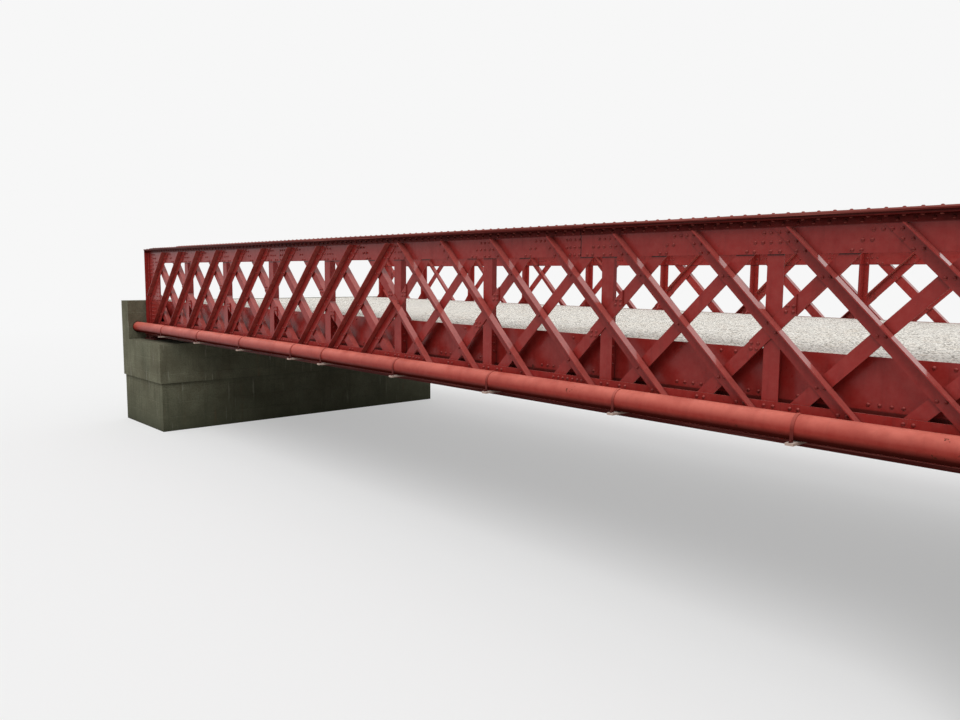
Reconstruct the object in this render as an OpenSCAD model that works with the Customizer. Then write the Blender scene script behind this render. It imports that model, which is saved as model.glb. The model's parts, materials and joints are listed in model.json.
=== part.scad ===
// Riveted lattice-girder road bridge with a service pipe along one side.
// X runs along the span, Y across it and Z up. The origin is at ground level
// under the middle of the bridge. All sizes are millimetres.

/* [Span] */
// Distance between posts along a girder
bay = 1800; // [1200:50:2400]
// Number of post bays, an even number
bays = 10; // [6:2:12]
// Girder length past the centre of each end post
end_over = 250; // [150:10:400]
// Distance between the two girders' webs, centre to centre
gauge = 6100; // [4500:100:7500]

/* [Girder] */
// Overall depth of a girder over its flange plates
girder_h = 1895; // [1500:5:2400]
// Thickness of the web plates
web_t = 14; // [8:1:16]
// Depth of the top chord's web plate, below the flange plates
top_web_h = 288; // [220:1:400]
// Depth of the bottom chord's web plate, above the flange plates
bottom_web_h = 279; // [220:1:400]
// Distance of the top web's joints from mid span
top_joint = 3250; // [2000:50:4000]
// Distance of the bottom web's joint from mid span
bottom_joint = 400; // [200:50:700]
// Length of full-depth web plate at each girder end
end_plate_l = 600; // [400:20:800]
// Width of the flange plates next to the chord angles
flange_w = 280; // [260:10:360]
// Half length of the wide part of the top flange's lowest plate
wide_half_l = 3390; // [2000:10:6000]
// Thickness of one flange plate
flange_t = 13; // [8:1:20]
// Width of the outer two flange plates, the covers
cover_w = 256; // [220:4:340]
// How far the top flange's lower cover stops short of each girder end
cover_back = 450; // [200:50:700]
// How far the top flange's upper cover stops short of each girder end
cover_stop = 1900; // [800:100:3600]
// Leg of the four chord angles along the flange plates
chord_leg_out = 100; // [80:5:110]
// Leg of the four chord angles along the web plates
chord_leg_up = 65; // [50:5:110]
// Thickness of the chord angles
chord_angle_t = 10; // [8:1:14]

/* [Lattice] */
// Depth from a flange's outer face to the line on which the diagonals meet
node_depth = 47.5; // [20:0.5:120]
// Flat leg of a diagonal angle, riveted to the web plates
diagonal_flat = 120; // [80:5:140]
// Outstanding leg of a diagonal angle
diagonal_out = 90; // [50:5:95]
// Thickness of the diagonal angles
diagonal_t = 10; // [8:1:14]
// Diameter of the packing washers where two diagonals cross
packing_d = 70; // [50:5:90]
// Reach of a splice plate on each side of a post's centre
splice_reach = 205; // [150:5:280]

/* [Posts] */
// Width of a post's flange, against the web plates
post_w = 150; // [120:10:200]
// Depth of a post's stem, inward from its flange
post_stem = 130; // [95:5:150]
// Thickness of a post's flange and stem
post_t = 10; // [8:1:14]
// Height of a knee plate's tip above the girder's bottom
knee_top = 890; // [820:5:1200]
// Reach of a knee plate along the cross girder
knee_reach = 300; // [120:5:350]
// Leg of the angle that closes each girder end
end_leg = 80; // [60:5:95]

/* [Deck] */
// Height of the road surface above the girder's bottom
road_z = 750; // [650:5:860]
// Thickness of the deck slab
slab_t = 140; // [100:10:200]
// Depth of the stringers under the slab
stringer_h = 140; // [100:10:200]
// Width of a stringer's flanges
stringer_w = 74; // [60:2:100]
// Number of stringers
stringers = 5; // [3:1:7]
// Depth of the cross girders
cross_h = 380; // [260:10:400]
// Width of a cross girder's flanges
cross_w = 180; // [120:10:220]
// Thickness of rolled webs and flanges under the deck
rolled_t = 12; // [8:1:16]
// Thickness of the deck side plates
side_plate_t = 8; // [6:1:12]
// Distance of the deck side plates behind the posts' stems
side_plate_back = 5; // [2:1:30]
// Height of the side plates' top edge above the road
side_plate_lip = 5; // [0:1:60]
// How far the side plates reach below the top of the bottom chord's web plate
side_plate_dip = 45; // [0:1:60]

/* [Pipe] */
// Outside diameter of the service pipe
pipe_d = 219.1; // [168.3, 219.1, 273]
// Wall of the service pipe
pipe_wall = 6.3; // [4:0.1:12]
// Sideways gap between the pipe and the edge of the flange plate
pipe_gap = 6; // [3:1:40]
// Width of a pipe saddle along the pipe
saddle_l = 70; // [50:5:140]
// Thickness of a pipe saddle, a bar that lies on the bottom chord's angle
saddle_t = 22; // [12:1:40]
// How far a saddle reaches past the pipe
saddle_past = 40; // [15:5:80]
// Distance of the left stretch's saddles from the posts, towards the left end
saddle_left = 500; // [200:50:700]
// Distance of the right stretch's saddles from the posts, towards the right end
saddle_right = 400; // [200:50:700]
// Width of the strap that holds the pipe down
strap_l = 30; // [20:5:60]
// Thickness of the strap
strap_t = 5; // [4:1:10]

/* [Abutments] */
// Height of the bearing shelf above the ground
shelf_z = 1805; // [1200:5:3000]
// Height of a bearing between shelf and girder
bearing_h = 80; // [60:5:140]
// Length of a bearing's lower plate along the span
bearing_l = 500; // [420:20:560]
// Width of a bearing's lower plate
bearing_w = 320; // [290:10:400]
// Length of a bearing's upper plate, as wide as the flange plate
bearing_top_l = 400; // [200:20:420]
// Length of the bar between the two plates
bearing_bar_l = 120; // [60:10:180]
// Length of the bearing shelf, from the back wall to the abutment's front face
shelf_l = 1800; // [900:50:2400]
// Gap between the girder ends and the back wall
joint_gap = 50; // [20:5:100]
// Gap between the deck slab and the back wall
slab_gap = 10; // [5:1:30]
// Thickness of the back wall
back_wall_t = 400; // [250:10:600]
// Wall beyond the pipe's side, which sets the abutments' width
wall_past_pipe = 105; // [80:5:600]
// Height of the joint below the upper block
block_z = 1000; // [600:20:1200]
// How far the upper block stands proud of the stem
block_proud = 40; // [10:5:100]
// Clearance round the pipe where it passes the back wall
sleeve_gap = 15; // [5:1:40]

/* [Hidden] */

$fn = 64;
paint = "#8f2f2c";
paint_light = "#a8443c";
concrete = "#8d8a80";
road_grey = "#c9c6ba";

// Flat pieces that stand side by side keep this much apart
fit = 2;
// Round faces that rest on each other keep this much apart
seat = 0.3;
// Round cuts reach this much past both ends of what they cut
cut_past = 1;

base_z = shelf_z + bearing_h;
half_l = bays * bay / 2 + end_over;
half_bays = bays / 2;
step = bay / 2;

// Heights within the girder, from its bottom
covers_t = 2 * flange_t;
bottom_plate_top = covers_t + flange_t;
top_plate_low = girder_h - covers_t - flange_t;
web_mid = girder_h / 2;
angle_low = bottom_plate_top + chord_angle_t;
angle_top = top_plate_low - chord_angle_t;
lattice_low = bottom_plate_top + chord_leg_up + fit;
lattice_top = top_plate_low - chord_leg_up - fit;
bottom_web_top = bottom_plate_top + bottom_web_h;
top_web_low = top_plate_low - top_web_h;
web_end = half_l - end_plate_l;

// A diagonal runs one step sideways while it rises by this much
step_rise = web_mid - node_depth;
run = step / step_rise;
// Sideways length of one millimetre across a diagonal
slant = sqrt(1 + run * run);

// Depths within the girder, outward from the web's middle plane
web_face = web_t / 2;
post_face = web_face + post_t + post_stem;
side_plate_in = post_face + side_plate_back;
slab_edge = side_plate_in + side_plate_t;

slab_low = road_z - slab_t;
cross_top = slab_low - stringer_h;
cross_low = cross_top - cross_h;
slab_half_w = gauge / 2 - slab_edge;
// How far a knee plate reaches in from the slab's edge, at the slab's underside
knee_slot = post_face - slab_edge + fit
    + knee_reach * (knee_top - slab_low) / (knee_top - cross_top);

pipe_r = pipe_d / 2;
pipe_out = flange_w / 2 + pipe_gap + pipe_r;
saddle_z = angle_low + saddle_t;
pipe_z = saddle_z + seat + pipe_r;
// The pipe lies in two stretches, each with a saddle in every bay
saddle_places = concat([for (k = [1 - half_bays:-1]) k * bay - saddle_left],
    [for (k = [-1:half_bays - 2]) k * bay + saddle_right]);
back_x = half_l + joint_gap;
rear_x = back_x + back_wall_t;
front_x = back_x - shelf_l;
abutment_half_w = gauge / 2 + pipe_out + pipe_r + wall_past_pipe;

// Copies a child to both ends of the bridge
module both_ends() {
    children();
    mirror([1, 0, 0]) children();
}

// Puts a piece drawn for the near girder in its place; outward is -Y
module near() {
    translate([0, -gauge / 2, base_z]) children();
}

// Puts the same piece on the far girder
module far() {
    mirror([0, 1, 0]) near() children();
}

// Extrudes an outline of depth and height along the span
module along_span(length) {
    rotate([90, 0, 90]) linear_extrude(height = length, center = true) children();
}

// Extrudes an elevation outline across the girder, from depth a outward to depth b
module across(a, b) {
    translate([0, -a, 0]) rotate([90, 0, 0]) linear_extrude(height = b - a) children();
}

// Outline of a plate that lies along a rising (1) or falling (-1) diagonal,
// between two offsets across it; the upper side has positive offsets
module diagonal_outline(at, way, low_off, high_off, z1, z2) {
    function u(z, off) = at + way * ((z - web_mid) * run - off * slant);
    polygon([[u(z1, low_off), z1], [u(z2, low_off), z2],
        [u(z2, high_off), z2], [u(z1, high_off), z1]]);
}

// Part of the elevation between two places along the span and two heights
module span_at(x1, x2, z1, z2) {
    translate([x1, z1]) square([x2 - x1, z2 - z1]);
}

// Part of the elevation between two places along the span, at full height
module span_window(x1, x2) {
    span_at(x1, x2, 0, girder_h);
}

// Elevation of the post flanges, widened by the fitting gap
module post_windows() {
    for (k = [-half_bays:half_bays])
        span_window(k * bay - post_w / 2 - fit, k * bay + post_w / 2 + fit);
}

// Chord web between two heights, in plates that meet at the given joints
module web_plates(z1, z2, joints) {
    color(paint) across(-web_face, web_face) difference() {
        span_at(-web_end, web_end, z1, z2);
        for (x = joints) span_at(x - fit / 2, x + fit / 2, 0, girder_h);
    }
}

module end_plates() {
    color(paint) both_ends() across(-web_face, web_face)
        translate([web_end, bottom_plate_top])
            square([end_plate_l, top_plate_low - bottom_plate_top]);
}

// One angle whose corner lies at the origin, with legs along +X and +Y
module angle_outline(leg_a, leg_b, t) {
    polygon([[0, 0], [leg_a, 0], [leg_a, t], [t, t], [t, leg_b], [0, leg_b]]);
}

module chord_angles(top) {
    color(paint) for (side = [-1, 1])
        along_span(2 * half_l)
            translate([side * web_face, top ? top_plate_low : bottom_plate_top])
                scale([side, top ? -1 : 1])
                    angle_outline(chord_leg_out, chord_leg_up, chord_angle_t);
}

module flange_plate(z, t, width, length) {
    color(paint) along_span(length) translate([-width / 2, z]) square([width, t]);
}

// Lowest plate of the top flange: wide in the middle, as wide as the angles past that
module top_flange() {
    narrow_w = web_t + 2 * chord_leg_out;
    end_l = half_l - wide_half_l - fit;
    flange_plate(top_plate_low, flange_t, flange_w, 2 * wide_half_l);
    both_ends() translate([half_l - end_l / 2, 0, 0])
        flange_plate(top_plate_low, flange_t, narrow_w, end_l);
}

// Cover plates of the top flange, the upper one shorter than the lower
module top_cover() {
    flange_plate(girder_h - covers_t, flange_t, cover_w, 2 * (half_l - cover_back));
    flange_plate(girder_h - flange_t, flange_t, cover_w, 2 * (half_l - cover_stop));
}

// Wide plate of the bottom flange with its two covers beneath
module bottom_flange() {
    flange_plate(covers_t, flange_t, flange_w, 2 * half_l);
    flange_plate(0, covers_t, cover_w, 2 * half_l);
}

// One outer diagonal angle that falls towards the right end, from mid span on
module strut(m) {
    x1 = fit / 2;
    x2 = half_l - end_leg - fit;
    across(web_face, web_face + diagonal_t) intersection() {
        diagonal_outline(m * step, -1, -diagonal_flat / 2, diagonal_flat / 2,
            lattice_low, lattice_top);
        span_window(x1, x2);
    }
    across(web_face, web_face + diagonal_out) intersection() {
        diagonal_outline(m * step, -1, diagonal_flat / 2 - diagonal_t, diagonal_flat / 2,
            lattice_low, lattice_top);
        span_window(x1, x2);
    }
}

module struts() {
    color(paint_light) both_ends() for (m = [0:bays]) strut(m);
}

// Elevation of an inner diagonal, cut where it meets a post
module tie_outline(m, low_off) {
    difference() {
        intersection() {
            diagonal_outline(m * step, 1, low_off, diagonal_flat / 2,
                lattice_low, lattice_top);
            span_window(fit / 2, half_bays * bay);
        }
        post_windows();
    }
}

// One inner diagonal angle that rises towards the right end
module tie(m) {
    across(-web_face - diagonal_t, -web_face) tie_outline(m, -diagonal_flat / 2);
    across(-web_face - diagonal_out, -web_face) tie_outline(m, diagonal_flat / 2 - diagonal_t);
}

module ties() {
    color(paint) both_ends() for (m = [0:bays]) tie(m);
}

// T-shaped post: the flange lies on the web plates, the stem reaches both flanges
module posts() {
    color(paint) for (k = [-half_bays:half_bays]) translate([k * bay, 0, 0]) {
        across(-web_face - post_t, -web_face)
            translate([-post_w / 2, lattice_low])
                square([post_w, lattice_top - lattice_low]);
        across(-post_face, -web_face - post_t)
            translate([-post_t / 2, angle_low]) square([post_t, angle_top - angle_low]);
    }
}

// Angle over the full depth that closes each end of the girder on its outer face,
// packed off the web by the thickness of the chord angles
module end_angles() {
    color(paint) both_ends() {
        translate([half_l, -web_face - chord_angle_t, angle_low])
            mirror([1, 0, 0]) mirror([0, 1, 0])
                linear_extrude(height = angle_top - angle_low)
                    angle_outline(end_leg, end_leg, diagonal_t);
        across(web_face, web_face + chord_angle_t)
            span_at(half_l - end_leg, half_l, lattice_low, lattice_top);
    }
}

// Plates in the plane of the webs that carry each inner diagonal past a post
module splices() {
    h = diagonal_flat * slant / run / 2;
    z1 = web_mid - splice_reach / run - h;
    z2 = web_mid + splice_reach / run + h;
    color(paint_light) across(-web_face, web_face) {
        for (side = [-1, 1], k = [1:half_bays - 1]) intersection() {
            diagonal_outline(side * k * bay, side, -diagonal_flat / 2, diagonal_flat / 2, z1, z2);
            span_window(side * k * bay - splice_reach, side * k * bay + splice_reach);
        }
        intersection() {
            union() for (way = [-1, 1])
                diagonal_outline(0, way, -diagonal_flat / 2, diagonal_flat / 2, z1, z2);
            span_window(-splice_reach, splice_reach);
        }
    }
}

// Round washers that fill the gap where two diagonals cross between posts
module packings() {
    color(paint) for (side = [-1, 1], i = [0:bays - 1]) {
        for (dz = [-1, 1])
            packing(side * (i + 0.5) * step, web_mid + dz * step_rise / 2);
        if (i % 2 == 1) packing(side * i * step, web_mid);
    }
}

module packing(x, z) {
    translate([x, 0, z]) rotate([90, 0, 0]) cylinder(h = web_t, d = packing_d, center = true);
}

// Plates that close the deck's edge between the posts
module side_plates() {
    off = post_t / 2 + fit;
    color(paint) for (k = [-half_bays:half_bays - 1])
        across(-side_plate_in - side_plate_t, -side_plate_in)
            span_at(k * bay + off, (k + 1) * bay - off,
                bottom_web_top - side_plate_dip, road_z + side_plate_lip);
}

// Triangular plates between post and cross girder
module knees() {
    color(paint) for (k = [-half_bays:half_bays]) translate([k * bay, 0, 0])
        along_span(post_t) polygon([[post_face, cross_top], [post_face + knee_reach, cross_top],
            [post_face, knee_top]]);
}

// I-shaped outline that stands on height 0
module beam_outline(h, w, t) {
    translate([-w / 2, 0]) square([w, t]);
    translate([-w / 2, h - t]) square([w, t]);
    translate([-t / 2, 0]) square([t, h]);
}

module cross_girders() {
    web_l = gauge - 2 * post_face;
    flange_l = gauge - 2 * slab_edge - 2 * rolled_t;
    color(paint) for (k = [-half_bays:half_bays]) translate([k * bay, 0, base_z + cross_low]) {
        translate([-post_t / 2, -web_l / 2, 0]) cube([post_t, web_l, cross_h]);
        for (z = [0, cross_h - rolled_t])
            translate([-cross_w / 2, -flange_l / 2, z]) cube([cross_w, flange_l, rolled_t]);
    }
}

module stringer_lines() {
    pitch = (gauge - 2 * post_face - 2 * knee_reach - cross_w) / (stringers - 1);
    color(paint) for (i = [0:stringers - 1])
        translate([0, (i - (stringers - 1) / 2) * pitch, base_z + cross_top])
            along_span(2 * half_l) beam_outline(stringer_h, stringer_w, rolled_t);
}

// Slab with a slot round each knee plate
module deck_slab() {
    slab_half_l = back_x - slab_gap;
    color(road_grey) translate([0, 0, base_z + slab_low]) linear_extrude(height = slab_t)
        difference() {
            translate([-slab_half_l, -slab_half_w]) square([2 * slab_half_l, 2 * slab_half_w]);
            for (k = [-half_bays:half_bays], side = [-1, 1])
                translate([k * bay - post_t / 2 - fit, side * slab_half_w - knee_slot])
                    square([post_t + 2 * fit, 2 * knee_slot]);
        }
}

module on_pipe_axis() {
    near() translate([0, -pipe_out, pipe_z]) rotate([0, 90, 0]) children();
}

module service_pipe() {
    color(paint_light) on_pipe_axis() difference() {
        cylinder(h = 2 * rear_x, r = pipe_r, center = true);
        cylinder(h = 2 * (rear_x + cut_past), r = pipe_r - pipe_wall, center = true);
    }
}

// Bar that lies on the bottom chord's angle and carries the pipe beside the flange
module pipe_saddles() {
    inner = web_face + chord_angle_t + fit;
    outer = pipe_out + pipe_r + saddle_past;
    color(paint) for (x = saddle_places) near() translate([x - saddle_l / 2, -outer, angle_low])
        cube([saddle_l, outer - inner, saddle_t]);
}

// Strap over the pipe at each saddle: a half ring on two straight legs
module pipe_straps() {
    r = pipe_r + seat;
    color(paint) for (x = saddle_places) near() translate([x, -pipe_out, pipe_z])
        along_span(strap_l) difference() {
            union() {
                circle(r + strap_t);
                translate([-r - strap_t, saddle_z - pipe_z])
                    square([2 * (r + strap_t), pipe_z - saddle_z]);
            }
            circle(r);
            translate([-r, -pipe_d]) square([2 * r, pipe_d]);
        }
}

// Block that stands on height z, centred on the origin
module centred_block(l, w, h, z) {
    translate([-l / 2, -w / 2, z]) cube([l, w, h]);
}

// Stepped steel bearing under each girder end
module bearings() {
    t = bearing_h / 4;
    color(paint) for (sx = [-1, 1], sy = [-1, 1])
        translate([sx * (half_l - end_plate_l / 2), sy * gauge / 2, shelf_z]) {
            centred_block(bearing_l, bearing_w, t, 0);
            centred_block(bearing_bar_l, flange_w, bearing_h - 2 * t, t);
            centred_block(bearing_top_l, flange_w, t, bearing_h - t);
        }
}

// Concrete block that carries the girder ends; its upper course stands proud
module abutment() {
    w = abutment_half_w;
    color(concrete) {
        translate([front_x + block_proud, -w + block_proud, 0])
            cube([rear_x - front_x - block_proud, 2 * (w - block_proud), block_z]);
        translate([front_x, -w, block_z]) cube([rear_x - front_x, 2 * w, shelf_z - block_z]);
    }
}

// Wall from the bearing shelf up to the road, with a hole for the pipe
module back_wall() {
    w = abutment_half_w;
    color(concrete) difference() {
        translate([back_x, -w, shelf_z]) cube([back_wall_t, 2 * w, bearing_h + road_z]);
        on_pipe_axis() cylinder(h = 2 * (rear_x + cut_past), r = pipe_r + sleeve_gap, center = true);
    }
}

near()  // near_top_web
    web_plates(top_web_low, top_plate_low, [-top_joint, top_joint]);
near()  // near_bottom_web
    web_plates(bottom_plate_top, bottom_web_top, [bottom_joint]);
near() end_plates();  // near_end_plates
near() chord_angles(true);  // near_top_angles
near() chord_angles(false);  // near_bottom_angles
near() top_flange();  // near_top_flange
near() top_cover();  // near_top_cover
near() bottom_flange();  // near_bottom_flange
near() struts();  // near_struts
near() ties();  // near_ties
near() posts();  // near_posts
near() end_angles();  // near_end_angles
near() splices();  // near_splices
near() packings();  // near_packings
near() side_plates();  // near_side_plates
near() knees();  // near_knees

far()  // far_top_web
    web_plates(top_web_low, top_plate_low, [-top_joint, top_joint]);
far()  // far_bottom_web
    web_plates(bottom_plate_top, bottom_web_top, [bottom_joint]);
far() end_plates();  // far_end_plates
far() chord_angles(true);  // far_top_angles
far() chord_angles(false);  // far_bottom_angles
far() top_flange();  // far_top_flange
far() top_cover();  // far_top_cover
far() bottom_flange();  // far_bottom_flange
far() struts();  // far_struts
far() ties();  // far_ties
far() posts();  // far_posts
far() end_angles();  // far_end_angles
far() splices();  // far_splices
far() packings();  // far_packings
far() side_plates();  // far_side_plates
far() knees();  // far_knees

cross_girders();
stringer_lines();  // stringers
deck_slab();
service_pipe();
pipe_saddles();
pipe_straps();
bearings();
mirror([1, 0, 0]) abutment();  // left_abutment
mirror([1, 0, 0]) back_wall();  // left_back_wall
abutment();  // right_abutment
back_wall();  // right_back_wall
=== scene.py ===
"""Looks for a riveted lattice-girder road bridge with a service pipe along one side."""
import json
import math
import random

import bpy
from mathutils import Euler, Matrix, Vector


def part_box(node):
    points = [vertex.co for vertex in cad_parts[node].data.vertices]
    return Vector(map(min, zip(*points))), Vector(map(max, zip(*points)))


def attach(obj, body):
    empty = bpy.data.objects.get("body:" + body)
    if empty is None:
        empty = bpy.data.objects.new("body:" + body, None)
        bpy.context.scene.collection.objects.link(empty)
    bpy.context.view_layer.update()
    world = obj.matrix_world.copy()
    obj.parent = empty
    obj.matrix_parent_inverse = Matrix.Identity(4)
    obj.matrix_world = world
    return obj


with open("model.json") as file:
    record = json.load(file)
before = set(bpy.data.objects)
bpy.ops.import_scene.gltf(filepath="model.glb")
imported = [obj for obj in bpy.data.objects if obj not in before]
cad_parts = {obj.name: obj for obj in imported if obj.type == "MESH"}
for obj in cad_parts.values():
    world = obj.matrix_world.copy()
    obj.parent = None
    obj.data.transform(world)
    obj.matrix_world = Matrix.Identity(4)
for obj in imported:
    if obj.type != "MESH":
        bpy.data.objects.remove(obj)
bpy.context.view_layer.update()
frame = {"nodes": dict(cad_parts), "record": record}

# Sizes of the bridge, in metres; the diagonals' lines meet NODE_DEPTH inside the girder's top and bottom
BAY = 1.8
BAYS = 10
HALF_BAYS = BAYS // 2
STEP = BAY / 2
POST_T = 0.010
POST_W = 0.150
DIAGONAL_T = 0.010
DIAGONAL_FLAT = 0.120
NODE_DEPTH = 0.0475
ANGLE_T = 0.010
END_PLATE_L = 0.600
END_LEG = 0.080
END_ANGLE_OUT = 0.020
TOP_JOINT = 3.250
BOTTOM_JOINT = 0.400
STRAP_T = 0.005

# The pipe's saddles, in a left stretch before the posts and a right stretch past them
SADDLE_L = 0.070
SADDLE_BEFORE = 0.5
SADDLE_PAST = 0.4
SADDLE_PLACES = [k * BAY - SADDLE_BEFORE for k in range(1 - HALF_BAYS, 0)]
SADDLE_PLACES += [k * BAY + SADDLE_PAST for k in range(-1, HALF_BAYS - 1)]

# Places read from the frame; depth is counted from a girder web's middle, inward positive
flange_low, flange_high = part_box("near_bottom_flange")
NEAR_Y = (flange_low.y + flange_high.y) / 2
HALF_GAUGE = -NEAR_Y
BASE_Z = flange_low.z
HALF_L = flange_high.x
BOTTOM_PLATE_TOP = flange_high.z - BASE_Z
web_low, web_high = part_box("near_top_web")
WEB_FACE = (web_high.y - web_low.y) / 2
TOP_WEB_LOW = web_low.z - BASE_Z
TOP_PLATE_LOW = web_high.z - BASE_Z
BOTTOM_WEB_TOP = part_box("near_bottom_web")[1].z - BASE_Z
GIRDER_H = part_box("near_top_cover")[1].z - BASE_Z
ANGLE_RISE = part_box("near_bottom_angles")[1].z - BASE_Z - BOTTOM_PLATE_TOP
PLATE_T = (GIRDER_H - TOP_PLATE_LOW) / 3
WEB_MID = GIRDER_H / 2
STEP_RISE = WEB_MID - NODE_DEPTH
RUN = STEP / STEP_RISE
SLANT = math.hypot(1, RUN)
POST_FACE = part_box("near_posts")[1].y - NEAR_Y
SIDE_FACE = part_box("near_side_plates")[0].y - NEAR_Y
pipe_low, pipe_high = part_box("service_pipe")
PIPE_Y = (pipe_low.y + pipe_high.y) / 2
PIPE_Z = (pipe_low.z + pipe_high.z) / 2
PIPE_R = (pipe_high.y - pipe_low.y) / 2
SADDLE_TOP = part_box("pipe_saddles")[1].z
CROSS_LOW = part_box("cross_girders")[0].z
SHELF_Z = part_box("bearings")[0].z

# The same heights above the ground, for materials
TOP_PLATE_Z = BASE_Z + TOP_PLATE_LOW
BOTTOM_PLATE_Z = BASE_Z + BOTTOM_PLATE_TOP
TOP_WEB_Z = BASE_Z + TOP_WEB_LOW
BOTTOM_WEB_Z = BASE_Z + BOTTOM_WEB_TOP
COVERS_Z = BASE_Z + GIRDER_H - PLATE_T

# Outlines of heads, nuts and rod ends from foot to crown, as (share of radius, share of height)
DOME = ((1.0, 0.0), (0.88, 0.52), (0.48, 0.92))
NUT = ((1.0, 0.0), (1.0, 0.88), (0.86, 1.0))
ROD = ((1.0, 0.0), (1.0, 0.93), (0.7, 1.0))
HEAD_SIDES = 8
NUT_SIDES = 6

# Rivet heads, and how close two in a row may stand
HEAD_R = 0.0160
HEAD_H = 0.0130
HEAD_CLEAR = 1.6 * HEAD_R

# How near a post's middle a head would touch its flange or stem, and how far out the end angles start
POST_REACH = POST_W / 2 + HEAD_R
STEM_REACH = 0.030
END_REACH = HALF_L - END_LEG - HEAD_R

# Rows on the chord webs, counted from the edge that faces the lattice
ROWS = 3
ROW_STEP = 0.078
TOP_FIRST_ROW = 0.023
BOTTOM_FIRST_ROW = 0.040

# Rows through the flanges and the chord angles; a leg's row lies at a share of its height
PITCH = BAY / 14
FLANGE_LINE = WEB_FACE + 0.062
FLANGE_END = 0.05
LEG_SHARE = 0.58

# Half the distance between the two heads of a pair, and the pair's shift along the span
PAIR = 0.036
LINE_SHIFT = 0.030
POST_PAIR = 0.042
CROSSING_PAIR = 0.032
CROSSING_DROP = 0.018

# A splice plate's heads, as distances along the span and up or down from the plate's middle
SPLICE_GROUP = ((0.120, 0.142), (0.182, 0.142), (0.132, 0.190), (0.184, 0.190))

# Columns beside the chord webs' joints, and those of the bottom web's longer row
TOP_JOINT_COLUMNS = (0.020, 0.085, 0.150, 0.200)
BOTTOM_JOINT_COLUMNS = (0.035, 0.100)
LONG_ROW_START = 2.891
LONG_ROW_STEP = 0.069
LONG_ROW_COLUMNS = 7

# Columns on the girders' ends, counted inward from the end
END_ROWS = 14
END_ROW_INSET = 0.04
END_ANGLE_COLUMN = 0.045
END_COLUMNS = (0.147, 0.450, 0.570)

# Pairs on a deck side plate, as (place in the bay, half the pair's width, height)
SIDE_ROW = 0.370
SIDE_UPPER_ROW = 0.706
SIDE_PAIRS = ((0.230, 0.048, SIDE_ROW), (0.810, 0.044, SIDE_ROW), (0.990, 0.044, SIDE_ROW),
              (1.305, 0.074, SIDE_UPPER_ROW), (1.570, 0.048, SIDE_ROW))

# Heads where a post's stem meets a knee plate
KNEE_ROWS = (0.470, 0.560, 0.650, 0.790)
STEM_COLUMN = 0.035
KNEE_COLUMN = 0.030

# Heads under the cross girders, and columns down the ends of their webs
CROSS_LINE = 0.055
CROSS_PITCH = 0.15
CROSS_HALF_COUNT = 18
CROSS_END_COLUMN = 0.05
CROSS_END_FIRST = 0.06
CROSS_END_STEP = 0.085
CROSS_END_HEADS = 4

# Nuts and rod ends, as (radius, height), and where they stand
STRAP_NUT = (0.013, 0.011)
STRAP_ROD = (0.007, 0.024)
STRAP_BOLT_OUT = 0.017
BEARING_NUT = (0.020, 0.016)
BEARING_ROD = (0.011, 0.034)
BEARING_BOLT_X = 0.225
BEARING_BOLT_Y = 0.120
BEARING_SOLE_T = 0.020

UP = (0, 0, 1)
DOWN = (0, 0, -1)
LEVEL_SLACK = 1e-4
RIVET_SEED = 7
FIXING_SEED = 11

# The photograph's camera
CAMERA_PLACE = (8.790, -9.426, 3.268)
CAMERA_TURN = 48.108
CAMERA_DOWN = 6.134
CAMERA_ROLL = 0.42
FOCAL_PIXELS = 798.4
IMAGE_WIDTH = 960
SENSOR = 36.0
CLIP_END = 300

# The sky as it looks and as it lights the object, the floor that fades into it, and the sun
SKY_SEEN = 0.93
SKY_LIGHT = 0.66
FLOOR_REACH = 120
FLOOR_NEAR = 14.0
FLOOR_FAR = 42.0
FLOOR_VEIL = 0.45
FLOOR_SEEN = (0.86, 0.86, 0.86, 1.0)
FLOOR_LIGHT = (0.32, 0.32, 0.30, 1.0)
SUN_STRENGTH = 1.5
SUN_ANGLE = 40
SUN_FROM = (0.38, -0.52, 0.77)

scene = bpy.context.scene
nodes = frame["nodes"]


def linear(red, green, blue):
    """A colour given as screen values from 0 to 255, for a shader's socket."""
    def channel(value):
        value /= 255
        return value / 12.92 if value <= 0.04045 else ((value + 0.055) / 1.055) ** 2.4
    return (channel(red), channel(green), channel(blue), 1.0)


# Colours and gloss of old paint, with colours for painted shade and a painted sheen
RUST = linear(94, 48, 30)
DARK_RUST = linear(52, 30, 24)
FLANGE_SHADE = linear(50, 18, 16)
FOOT_SHADE = linear(34, 22, 18)
SLIT_SHADOW = linear(26, 16, 14)
JOINT_DIRT = linear(36, 16, 14)
UNDERSIDE_SHEEN = linear(188, 108, 98)
WORN_SHARE = 0.74
DULL = (0.85, 0.85, 0.85, 1.0)
SPECULAR = 0.22
COAT_ROUGHNESS = 0.14
MATT_SHARE = 0.15

# Colours of the deck
DECK_PALE = linear(255, 253, 246)
DECK_WORN = linear(253, 248, 238)
DARK_CHIPPING = linear(88, 78, 68)
PALE_CHIPPING = linear(250, 247, 240)
SMALL_CHIPPING = linear(120, 110, 98)
DECK_GAP = linear(176, 168, 154)
DECK_TINT = linear(196, 168, 134)
DECK_DIRT = linear(128, 118, 98)
DECK_SIDE = linear(112, 104, 92)
DECK_DIRT_FROM = 2.45
DECK_DIRT_FULL = 2.88

# Colours of the abutments
WALL_PALE = linear(136, 134, 112)
WALL_WORN = linear(102, 102, 84)
WALL_PORE = linear(70, 69, 58)
WALL_STREAK = linear(64, 62, 50)
WALL_BLOT = linear(82, 76, 60)
WALL_LIME = linear(192, 188, 174)
WALL_STAIN = linear(126, 84, 56)
WALL_FOOT = linear(52, 56, 40)
WALL_CORNER_SHADE = linear(44, 44, 36)
WALL_FOOT_TOP = 1.1


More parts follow.
